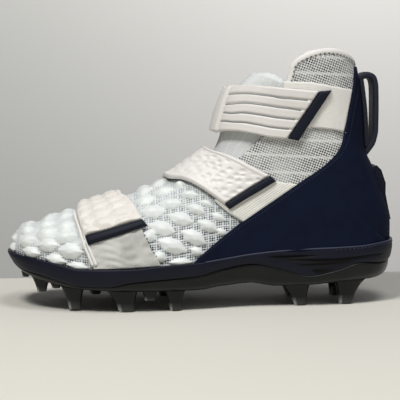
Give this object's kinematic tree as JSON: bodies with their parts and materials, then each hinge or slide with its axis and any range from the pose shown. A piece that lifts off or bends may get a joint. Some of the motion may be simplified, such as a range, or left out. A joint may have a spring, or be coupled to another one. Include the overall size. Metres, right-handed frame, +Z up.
{
  "type": "high football cleat",
  "caption": "High-collared football cleat for the left foot, with a moulded studded plate, a cupped sole and straps over toes, midfoot and ankle.",
  "frame": {"origin": "middle of the shoe's box on the floor under the stud tips", "axes": "+X from toe to heel, +Y to the inner side of the left foot, +Z up"},
  "size_m": [0.306, 0.108, 0.2002],
  "materials": {
    "white_knit": "matte knit with raised scales",
    "navy_panel": "matte padded cloth",
    "navy_binding": "matte binding",
    "navy_foam": "satin moulded foam",
    "smoke_plate": "glossy dark translucent plastic",
    "liner_fabric": "matte cloth",
    "warm_white_strap": "matte embossed synthetic",
    "white_loop_fabric": "matte loop cloth",
    "white_webbing": "matte webbing",
    "grey_loop_fabric": "fuzzy loop cloth"
  },
  "bodies": {
    "root": {"upper": "white_knit", "midsole": "navy_foam", "outsole": "smoke_plate", "insole": "liner_fabric", "tongue": "white_knit", "ankle_strap": "warm_white_strap", "midfoot_strap": "warm_white_strap", "forefoot_strap": "warm_white_strap", "ankle_strap_tab": "navy_binding", "midfoot_strap_tab": "navy_binding", "forefoot_strap_tab": "navy_binding", "ankle_base_panel": "white_loop_fabric", "midfoot_base_panel": "white_webbing", "forefoot_base_panel": "grey_loop_fabric", "heel_panel": "navy_panel", "heel_spine": "navy_binding", "heel_loop": "navy_binding", "collar_binding": "white_knit"}
  },
  "joints": []
}
